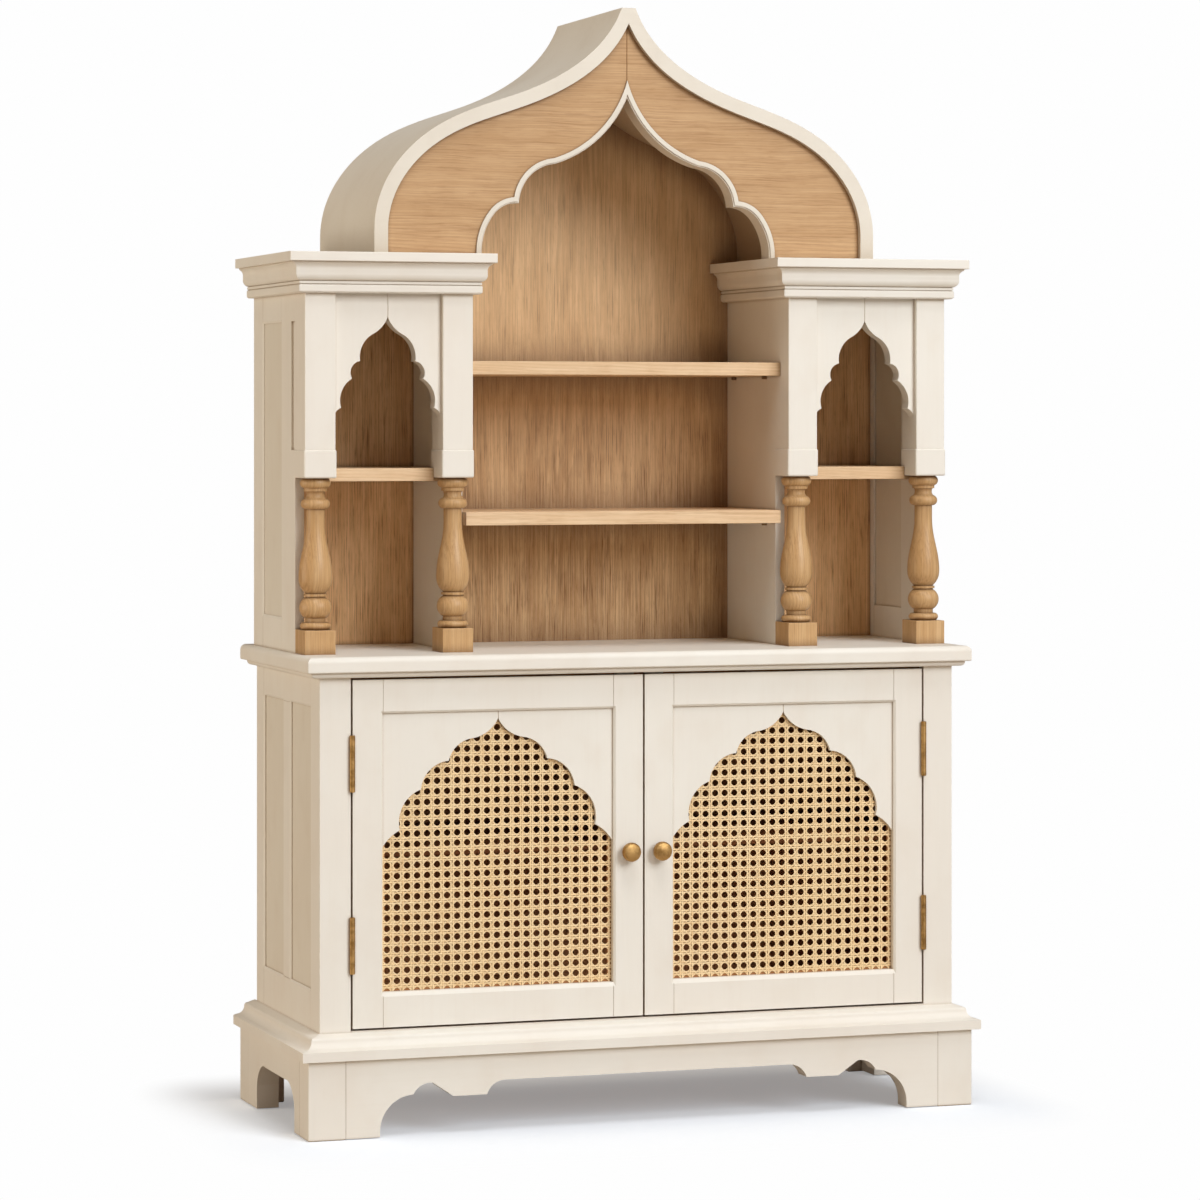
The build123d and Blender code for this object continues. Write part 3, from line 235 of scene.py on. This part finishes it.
# The floor's shadow stays near the cabinet: beyond its footprint the floor fades to white.
floor_half = 30
shadow_reach = 0.34
side_fade = 3
black = (0, 0, 0, 1)
shadow_lift = (0.27, 0.27, 0.27, 1)
bounce_tone = (0.52, 0.44, 0.36, 1)
seen_tone = (0.735, 0.78, 0.835, 1)

floor_mesh = bpy.data.meshes.new("floor")
corners = [(-floor_half, -floor_half, 0), (floor_half, -floor_half, 0),
           (floor_half, floor_half, 0), (-floor_half, floor_half, 0)]
floor_mesh.from_pydata(corners, [], [(0, 1, 2, 3)])
floor = bpy.data.objects.new("floor", floor_mesh)
bpy.context.scene.collection.objects.link(floor)
floor_paint, tree, inputs = new_material("floor_paint")
across, deep, _ = place_in(tree)
beside = (across.of("ABSOLUTE") - cad_high.x).of("MAXIMUM", 0)
before = (deep.of("ABSOLUTE") - cad_high.y).of("MAXIMUM", 0)
far = (beside * beside * side_fade + before * before).of("SQRT").ramp(0.0, shadow_reach)
inputs["Roughness"].default_value = 0.9
inputs["Specular IOR Level"].default_value = 0.1
seen = node(tree, "ShaderNodeLightPath", {}, {}, output="Is Camera Ray")
joined(tree, mixed(tree, seen, bounce_tone, seen_tone), inputs, "Base Color")
floor_shader = Socket(tree, tree.nodes["Principled BSDF"].outputs[0])
lift = node(tree, "ShaderNodeEmission", {}, {"Color": mixed(tree, seen, black, shadow_lift),
                                             "Strength": 1.0})
near_floor = node(tree, "ShaderNodeAddShader", {}, {0: floor_shader, 1: lift})
glow = node(tree, "ShaderNodeEmission", {}, {"Color": page_white, "Strength": 1.0})
lightened = node(tree, "ShaderNodeMixShader", {}, {0: seen * far, 1: near_floor, 2: glow})
tree.links.new(lightened.output, tree.nodes["Material Output"].inputs["Surface"])
floor_mesh.materials.append(floor_paint)


# ---------------------------------------------------------------------------------------------
# Painted carcase: plinth, mouldings, framed sides, face frame, counter, doors, towers, cornices
# and dome roof. Poplar and board, brushed with a warm satin cream, rubbed back between coats.
# Inside the cupboard the boards are stained brown instead.

def dress(material, names):
    """Give one material to CAD nodes."""
    for name in names:
        mesh = nodes[name].data
        mesh.materials.clear()
        mesh.materials.append(material)


# The cupboard's inside: between the middles of the side panels, behind the face frame, from the
# top of the plinth to just under the counter.
inside_half = 0.635
inside_front = -0.2055
inside_low = 0.1505
inside_high = 0.873
inside_stain = linear(200, 138, 82)
# The colour of the painted shade in the cream's corners and grooves.
cream_painted_shade = linear(160, 132, 98)


def cream_paint(name, tones, grain_scale, shade_reach=0.007, shade_share=0.62):
    """Satin paint over wood: faint clouds, brush marks along one axis, painted shade in the corners.

    The tones run from fresh to worn, and the grain scale is small along the brush marks.
    """
    light, warm, deep_tone = tones
    made, tree, inputs = new_material(name)
    x, y, z = place_in(tree)
    cloud = noise(tree, together(tree, x * 3, y * 3, z * 2), 1.0, 3.0)
    patch = noise(tree, together(tree, x * 14 + 5, y * 14, z * 10), 1.0, 3.0)
    stretched = together(tree, x * grain_scale[0], y * grain_scale[1], z * grain_scale[2])
    strokes = noise(tree, stretched, 1.0, 3.0, 0.6)
    speckle = noise(tree, together(tree, x * 900, y * 900, z * 900), 1.0, 1.0)
    tone = mixed(tree, cloud.ramp(0.35, 0.68), light, warm)
    tone = mixed(tree, patch.ramp(0.45, 0.8) * 0.30, tone, deep_tone)
    tone = mixed(tree, strokes.ramp(0.45, 0.75) * 0.10, tone, deep_tone)
    # Painted shade: the cream darkens in corners and grooves, from the ambient occlusion node.
    tone = mixed(tree, occlusion_shade(tree, shade_reach) * shade_share, tone, cream_painted_shade)
    inside = x.of("ABSOLUTE").of("LESS_THAN", inside_half) * y.of("GREATER_THAN", inside_front)
    inside = inside * z.of("LESS_THAN", inside_high) * z.of("GREATER_THAN", inside_low)
    tone = mixed(tree, inside, tone, inside_stain)
    joined(tree, tone, inputs, "Base Color")
    joined(tree, 0.42 + strokes * 0.08 + speckle * 0.06, inputs, "Roughness")
    joined(tree, bumped(tree, strokes * 0.6 + speckle * 0.2, 0.00018), inputs, "Normal")
    inputs["Specular IOR Level"].default_value = 0.30
    return made


upright_strokes = (130, 130, 7)
level_strokes = (7, 130, 130)
deep_strokes = (130, 7, 130)
fresh_tones = (linear(237, 232, 221), linear(235, 228, 216), linear(226, 215, 199))
# Painted shade: the panel, roof and vault tones are darker copies of the same cream, for the shade in the
# recessed panels, on the dome's roof and deep in its vault.
panel_shaded_tones = (linear(229, 222, 207), linear(226, 217, 201), linear(214, 201, 181))
roof_shaded_tones = (linear(229, 221, 206), linear(225, 216, 200), linear(214, 201, 182))
vault_shaded_tones = (linear(216, 204, 186), linear(208, 195, 175), linear(190, 174, 150))

upright_cream = cream_paint("cream_upright", fresh_tones, upright_strokes)
level_cream = cream_paint("cream_level", fresh_tones, level_strokes)
panel_cream_shaded = cream_paint("cream_panel_shaded", panel_shaded_tones, upright_strokes)
# The roof and the vault take wider painted shade: near the cornice and deep inside the dome.
roof_cream_shaded = cream_paint("cream_roof_shaded", roof_shaded_tones, level_strokes, shade_reach=0.10, shade_share=0.5)
vault_cream_shaded = cream_paint("cream_vault_shaded", vault_shaded_tones, deep_strokes, shade_reach=0.24, shade_share=0.8)

dress(upright_cream, ["plinth_legs", "lower_side_frame_left", "lower_side_frame_right",
                      "face_frame", "tower_side_frame_left", "tower_side_frame_right",
                      "tower_inner_side_left", "tower_inner_side_right", "tower_posts_left",
                      "tower_posts_right", "tower_arch_panel_left", "tower_arch_panel_right",
                      "left_door_frame", "right_door_frame", "left_door_arch_panel",
                      "right_door_arch_panel"])
dress(level_cream, ["plinth_apron_front", "plinth_aprons_side", "base_moulding", "counter_top",
                    "counter_moulding", "cornice_board_left", "cornice_board_right",
                    "cornice_moulding_left", "cornice_moulding_right"])
dress(panel_cream_shaded, ["lower_side_panels", "tower_side_panels"])
dress(roof_cream_shaded, ["dome_roof", "dome_arch_trim"])
dress(vault_cream_shaded, ["dome_lining"])


# ---------------------------------------------------------------------------------------------
# Oak: the backs, the shelves, the dome's fascia and the balusters. Plain-sawn light oak under a
# clear matt wax, with arched figure here and there, ray flecks and fine dark pores.

# The colour of the painted shade in the oak's corners and at the top of the dome's back.
brown_painted_shade = linear(84, 50, 22)
# The colour of painted light: the back's middle is made paler where the lamps light it too little.
painted_light_oak = linear(248, 212, 164)


def oak(name, axes, face, board_width, seed, tones, flat_share, wave=0.0, gloss=0.0, shade_reach=0.012,
        top_shade_heights=(9.0, 10.0), fibres=1.0, pale=0.0):
    """Waxed oak in glued boards. The axes run along the grain, across a board and through it.

    The face is where a board's surface lies, the tones run from light to dark, and the flat share
    is how many boards show arched figure. Between two given heights the wood darkens towards the
    top as painted shade, and from 1.05 m upwards it can be made paler as painted light.
    """
    made, tree, inputs = new_material(name)
    places = dict(zip("XYZ", place_in(tree)))
    length, side, through = [places[axis] for axis in axes]
    light, mid, dark = tones
    board = ((side + seed) / board_width).of("FLOOR")
    chance = node(tree, "ShaderNodeTexWhiteNoise", {"noise_dimensions": "1D"}, {"W": board + seed * 7.3},
                  output="Value")
    second = node(tree, "ShaderNodeTexWhiteNoise", {"noise_dimensions": "1D"},
                  {"W": board * 1.7 + seed + 31}, output="Value")
    drift = noise(tree, together(tree, side * 9 + chance * 20, through * 9, length * 7), 1.0, 2.0) - 0.5
    bent = side + drift * wave
    in_board = side + seed - (board + 0.5) * board_width
    flat_sawn = second.of("GREATER_THAN", 1 - flat_share)
    wander = noise(tree, together(tree, bent * 6 + chance * 40, through * 6, length * 1.3), 1.0, 3.0, 0.55)
    wander = wander - 0.5
    heart = in_board + (1 - flat_sawn) * (0.10 + chance * 0.16) + wander * (0.010 + flat_sawn * 0.026)
    depth = through - face + 0.016 + second * 0.03 + flat_sawn * (length * 0.030 + wander * 0.030)
    distance = (heart * heart + depth * depth).of("SQRT")
    ring = (distance / (0.0048 + flat_sawn * 0.0012) + wander * 0.8).of("FRACT")
    late = ring.ramp(0.30, 0.85) * (1 - ring.ramp(0.9, 1.0))
    broad = noise(tree, together(tree, bent * 22 + chance * 3, through * 9, length * 0.9), 1.0, 2.0)
    streak = noise(tree, together(tree, bent * 290 + chance * 9, through * 60, length * 3.5 + second * 5),
                   1.0, 4.0, 0.62)
    dash = noise(tree, together(tree, bent * 480, through * 300, length * 9 + chance * 9), 1.0, 3.0, 0.6)
    blotch = noise(tree, together(tree, bent * 34, through * 9, length * 9 + second * 3), 1.0, 3.0, 0.6)
    pores = noise(tree, together(tree, bent * 1000, through * 1000, length * 34 + chance * 9), 1.0, 2.0, 0.6)
    pore = pores.ramp(0.56, 0.72)
    flecks = noise(tree, together(tree, bent * 240, through * 60, length * 55), 1.0, 1.0).ramp(0.66, 0.80)
    tone = mixed(tree, broad.ramp(0.3, 0.7) * 0.55 + blotch.ramp(0.4, 0.62) * 0.45, light, mid)
    tone = mixed(tree, streak.ramp(0.40, 0.62) * 0.75, tone, mid)
    tone = mixed(tree, (1 - streak).ramp(0.54, 0.70) * 0.60, tone, light)
    tone = mixed(tree, late * (0.10 + flat_sawn * 0.12), tone, dark)
    tone = mixed(tree, flecks * 0.18, tone, light)
    tone = mixed(tree, chance * 0.18, tone, mid)
    worn = fibres * (0.18 + blotch.ramp(0.42, 0.62) * 0.30)
    tone = mixed(tree, dash.ramp(0.50, 0.64) * worn, tone, dark)
    tone = mixed(tree, pore * 0.35 * fibres, tone, dark)
    # Painted light: the wood turns paler upwards from 1.05 m to 1.6 m.
    tone = mixed(tree, places["Z"].ramp(1.05, 1.6) * pale, tone, painted_light_oak)
    # Painted shade: the oak darkens in corners and grooves, from the ambient occlusion node.
    tone = mixed(tree, occlusion_shade(tree, shade_reach) * 0.60, tone, brown_painted_shade)
    # Painted shade: the oak darkens towards the top, where the dome shades the back.
    tone = mixed(tree, places["Z"].ramp(*top_shade_heights) * 0.55, tone, brown_painted_shade)
    joined(tree, tone, inputs, "Base Color")
    joined(tree, 0.46 - gloss + pore * 0.18 - flecks * 0.06 + streak * 0.06, inputs, "Roughness")
    joined(tree, bumped(tree, 0.6 - pore * 0.4 - dash * 0.2, 0.0003), inputs, "Normal")
    inputs["Specular IOR Level"].default_value = 0.3
    return made


# The centre back takes a wide painted shade near the towers and under the shelves, painted shade at its top
# and painted light up its middle.
upright_oak = oak("oak_upright", axes="ZXY", face=0.18, board_width=0.118, seed=3.02,
                  tones=(linear(228, 190, 142), linear(188, 146, 99), linear(108, 69, 32)),
                  flat_share=0.30, shade_reach=0.085, top_shade_heights=(1.80, 2.02), fibres=1.7, pale=0.34)
# Painted light: the tower backs take a lighter copy of the same oak, to brighten their shaded recesses.
tower_oak_painted_light = oak("oak_tower_painted_light", axes="ZXY", face=0.18, board_width=0.118, seed=8.0,
                tones=(linear(244, 201, 150), linear(219, 172, 120), linear(132, 86, 42)),
                flat_share=0.0, fibres=1.5)
level_oak = oak("oak_level", axes="XYZ", face=1.2, board_width=0.11, seed=5.0,
                tones=(linear(238, 208, 170), linear(224, 189, 147), linear(190, 149, 107)),
                flat_share=0.3)
fascia_oak = oak("oak_fascia", axes="XZY", face=-0.13, board_width=0.16, seed=9.0,
                 tones=(linear(208, 170, 126), linear(190, 150, 105), linear(140, 97, 55)),
                 flat_share=0.35, wave=0.012, fibres=0.8)
turned_oak = oak("oak_turned", axes="ZXY", face=-0.2, board_width=0.5, seed=12.1,
                 tones=(linear(212, 175, 128), linear(192, 150, 100), linear(124, 82, 42)),
                 flat_share=0.0, wave=0.006, gloss=0.12, shade_reach=0.022, fibres=0.5)

dress(upright_oak, ["centre_back"])
dress(tower_oak_painted_light, ["tower_back_left", "tower_back_right"])
dress(level_oak, ["tower_shelf_left", "tower_shelf_right", "centre_shelf_lower", "centre_shelf_upper"])
dress(fascia_oak, ["dome_fascia"])
dress(turned_oak, ["balusters_left", "balusters_right"])


# ---------------------------------------------------------------------------------------------
# Inside boards: cupboard floor, back and shelf, rear rail, glue blocks and the beads behind the
# cane. Plain board, stained brown, the shelf darker so that it hardly shows through the cane.

stained_board = oak("stained_board", axes="XZY", face=0.25, board_width=0.2, seed=21.0,
                    tones=(linear(214, 150, 94), linear(196, 131, 77), linear(142, 89, 48)),
                    flat_share=0.2)
shelf_board = oak("shelf_board", axes="XYZ", face=0.5, board_width=0.2, seed=23.0,
                  tones=(linear(150, 92, 46), linear(132, 76, 36), linear(90, 50, 22)),
                  flat_share=0.2)
dress(stained_board, ["plinth_rail_rear", "plinth_corner_blocks", "carcase_floor", "lower_back_board",
                      "left_door_cane_beads", "right_door_cane_beads"])
dress(shelf_board, ["lower_shelf"])


# ---------------------------------------------------------------------------------------------
# Metal: cast knobs, butt hinges and their pins in antiqued brass, bronzed steel shelf pins and
# strike plates, and the catches' matt housings.

def aged_metal(name, bright, dull, roughness):
    """Aged metal: bright where it is rubbed, darker in its clouds of tarnish."""
    made, tree, inputs = new_material(name)
    x, y, z = place_in(tree)
    cloud = noise(tree, together(tree, x * 60, y * 60, z * 60), 1.0, 4.0, 0.6)
    fine = noise(tree, together(tree, x * 700, y * 700, z * 700), 1.0, 2.0)
    joined(tree, mixed(tree, cloud.ramp(0.35, 0.7), bright, dull), inputs, "Base Color")
    joined(tree, roughness + cloud * 0.12 + fine * 0.06, inputs, "Roughness")
    joined(tree, bumped(tree, fine, 0.00012), inputs, "Normal")
    inputs["Metallic"].default_value = 1.0
    return made


brass = aged_metal("antique_brass", bright=linear(197, 158, 101), dull=linear(145, 110, 63),
                   roughness=0.40)
steel = aged_metal("bronzed_steel", bright=linear(158, 136, 108), dull=linear(116, 96, 74),
                   roughness=0.34)
dress(brass, ["left_door_knob", "right_door_knob", "hinge_frame_leaves", "hinge_pins",
              "left_door_hinge_leaves", "right_door_hinge_leaves"])
dress(steel, ["shelf_pins", "left_door_strike", "right_door_strike"])

catch_plastic, tree, inputs = new_material("catch_plastic")
x, y, z = place_in(tree)
grain = noise(tree, together(tree, x * 900, y * 900, z * 900), 1.0, 2.0)
joined(tree, mixed(tree, grain, linear(214, 206, 190), linear(200, 190, 172)), inputs, "Base Color")
joined(tree, 0.5 + grain * 0.15, inputs, "Roughness")
joined(tree, bumped(tree, grain, 0.0001), inputs, "Normal")
dress(catch_plastic, ["door_catches"])


# ---------------------------------------------------------------------------------------------
# Cane: six-way chair cane in each door, woven of split rattan strands: pairs up and across, and
# two single diagonals that cut the corners of the holes. Soaked, stretched and held by beads.

cane, tree, inputs = new_material("cane")
uv = node(tree, "ShaderNodeTexCoord", {}, {}, output="UV")
apart = node(tree, "ShaderNodeSeparateXYZ", {}, {"Vector": uv})
run = Socket(tree, apart.output.node.outputs["X"])
strand = Socket(tree, apart.output.node.outputs["Y"])
x, y, z = place_in(tree)
strand_tone = node(tree, "ShaderNodeTexWhiteNoise", {"noise_dimensions": "1D"},
                   {"W": strand.of("FLOOR")}, output="Value")
skin = noise(tree, together(tree, run * 12, strand * 3, 0.5), 1.0, 3.0, 0.6)
fibre = noise(tree, together(tree, run * 60, strand * 40, 2.5), 1.0, 2.0, 0.6)
knots = noise(tree, together(tree, x * 30, y * 30, z * 30), 1.0, 2.0)
tone = mixed(tree, skin.ramp(0.3, 0.7), linear(255, 227, 176), linear(242, 203, 147))
tone = mixed(tree, strand_tone * 0.45, tone, linear(255, 233, 189))
tone = mixed(tree, fibre.ramp(0.50, 0.72) * 0.45, tone, linear(190, 138, 86))
tone = mixed(tree, knots.ramp(0.62, 0.8) * 0.4, tone, linear(202, 152, 94))
# Painted shade: the cane darkens to brown where strands cross and crowd each other.
tone = mixed(tree, occlusion_shade(tree, 0.0022) * 0.42, tone, linear(140, 88, 46))
joined(tree, tone, inputs, "Base Color")
joined(tree, 0.34 + fibre * 0.2, inputs, "Roughness")
joined(tree, bumped(tree, fibre, 0.0001), inputs, "Normal")

pitch = 0.0198
pair_offset = 0.00209
strand_half = 0.00173
diagonal_half = 0.00113
strand_thickness = 0.00052
weave_height = 0.00046
diagonal_height = weave_height * 1.1
placing_error = 0.00012
first_row_share = 0.45
steps_per_pitch = 6
strand_profile = [(-1, 0), (-0.62, 0.5), (0.62, 0.5), (1, 0), (0.62, -0.5), (-0.62, -0.5)]
profile_points = len(strand_profile)
two_pi = 2 * math.pi


def swing(value):
    """A wave as long as the pitch that starts at 0."""
    return math.sin(two_pi * value / pitch)


def level(value):
    """A wave as long as the pitch that starts at 1."""
    return math.cos(two_pi * value / pitch)


def strand_rings(start, end, half, height):
    """Rings of points along a flat strand from start to end in the pane's plane."""
    length = math.dist(start, end)
    count = max(2, round(length / pitch * steps_per_pitch))
    along = ((end[0] - start[0]) / length, (end[1] - start[1]) / length)
    side = (-along[1], along[0])
    rings = []
    for index in range(count + 1):
        share = index / count
        x = start[0] + (end[0] - start[0]) * share
        z = start[1] + (end[1] - start[1]) * share
        lift = height(x, z)
        ring = [(x + side[0] * across * half, lift + deep * strand_thickness,
                 z + side[1] * across * half) for across, deep in strand_profile]
        rings.append((share * length, ring))
    return rings


def clipped(offset, slope, low, high):
    """The part of a diagonal x = offset + slope * z that lies in the pane."""
    ends = []
    for z in (low[1], high[1]):
        x = offset + slope * z
        if low[0] <= x <= high[0]:
            ends.append((x, z))
    for x in (low[0], high[0]):
        z = (x - offset) / slope
        if low[1] < z < high[1]:
            ends.append((x, z))
    return sorted(ends)[:2]


def pair_strands(low, high, middle, bottom, chances):
    """The pairs that run up and across a pane, each strand as its ends, half width and height."""
    strands = []
    first = math.floor((low[0] - middle) / pitch)
    last = math.ceil((high[0] - middle) / pitch)
    for column in range(first, last + 1):
        for hand in (-1, 1):
            place = (column + 0.5) * pitch + hand * pair_offset
            x = middle + place + chances.uniform(-1, 1) * placing_error
            if low[0] + strand_half < x < high[0] - strand_half:
                strands.append(((x, low[1]), (x, high[1]), strand_half,
                                lambda across, rise, hand=hand: -hand * weave_height * swing(rise - bottom)))
    rows = math.ceil((high[1] - low[1]) / pitch)
    for row in range(-1, rows + 1):
        for hand in (-1, 1):
            place = row * pitch + hand * pair_offset
            z = bottom + place + chances.uniform(-1, 1) * placing_error
            if low[1] + strand_half < z < high[1] - strand_half:
                strands.append(((low[0], z), (high[0], z), strand_half,
                                lambda across, rise, hand=hand: hand * weave_height
                                * swing(across - middle - pitch / 2)))
    return strands


def diagonal_strands(low, high, middle, bottom):
    """The single strands that run both ways across the corners of a pane's holes."""
    strands = []
    diagonals = math.ceil((high[0] - low[0] + high[1] - low[1]) / pitch)
    for slope in (1, -1):
        for count in range(-diagonals, diagonals + 1):
            offset = middle - slope * (bottom + pitch / 2) + (count + 0.5) * pitch
            ends = clipped(offset, slope, low, high)
            if len(ends) == 2 and math.dist(*ends) > pitch / 2:
                strands.append((ends[0], ends[1], diagonal_half,
                                lambda across, rise, slope=slope: -slope * diagonal_height
                                * level(across - middle)))
    return strands


def strand_mesh(name, strands, plane):
    """One mesh of all strands in a plane, with the run and the number of each strand as its map."""
    points = []
    faces = []
    places = []
    for number, (start, end, half, height) in enumerate(strands):
        rings = strand_rings(start, end, half, height)
        base = len(points)
        for distance, ring in rings:
            points += [(x, plane - lift, z) for x, lift, z in ring]
            run = distance * 10 + number * 3.7
            places += [(run, number + side / profile_points + 0.05) for side in range(profile_points)]
        for index in range(len(rings) - 1):
            here = base + index * profile_points
            beyond = here + profile_points
            for side in range(profile_points):
                after = (side + 1) % profile_points
                faces.append((here + side, here + after, beyond + after, beyond + side))
    mesh = bpy.data.meshes.new(name)
    mesh.from_pydata(points, [], faces)
    layer = mesh.uv_layers.new(name="UVMap")
    for loop in mesh.loops:
        layer.data[loop.index].uv = places[loop.vertex_index]
    mesh.shade_smooth()
    return mesh


def cane_sheet(name, node_name, body, seed):
    """The woven sheet of one door, in the place of its plain sheet."""
    chances = random.Random(seed)
    low_corner, high_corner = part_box(node_name)
    plane = (low_corner.y + high_corner.y) / 2
    low = (low_corner.x, low_corner.z)
    high = (high_corner.x, high_corner.z)
    middle = (low[0] + high[0]) / 2
    bottom = low[1] + pitch * first_row_share
    strands = pair_strands(low, high, middle, bottom, chances)
    strands += diagonal_strands(low, high, middle, bottom)
    mesh = strand_mesh(name, strands, plane)
    mesh.materials.append(cane)
    sheet = bpy.data.objects.new(name, mesh)
    bpy.context.scene.collection.objects.link(sheet)
    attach(sheet, body)
    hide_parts(node_name)


cane_sheet("woven_cane_left", "left_door_cane", "left_door", 4)
cane_sheet("woven_cane_right", "right_door_cane", "right_door", 5)
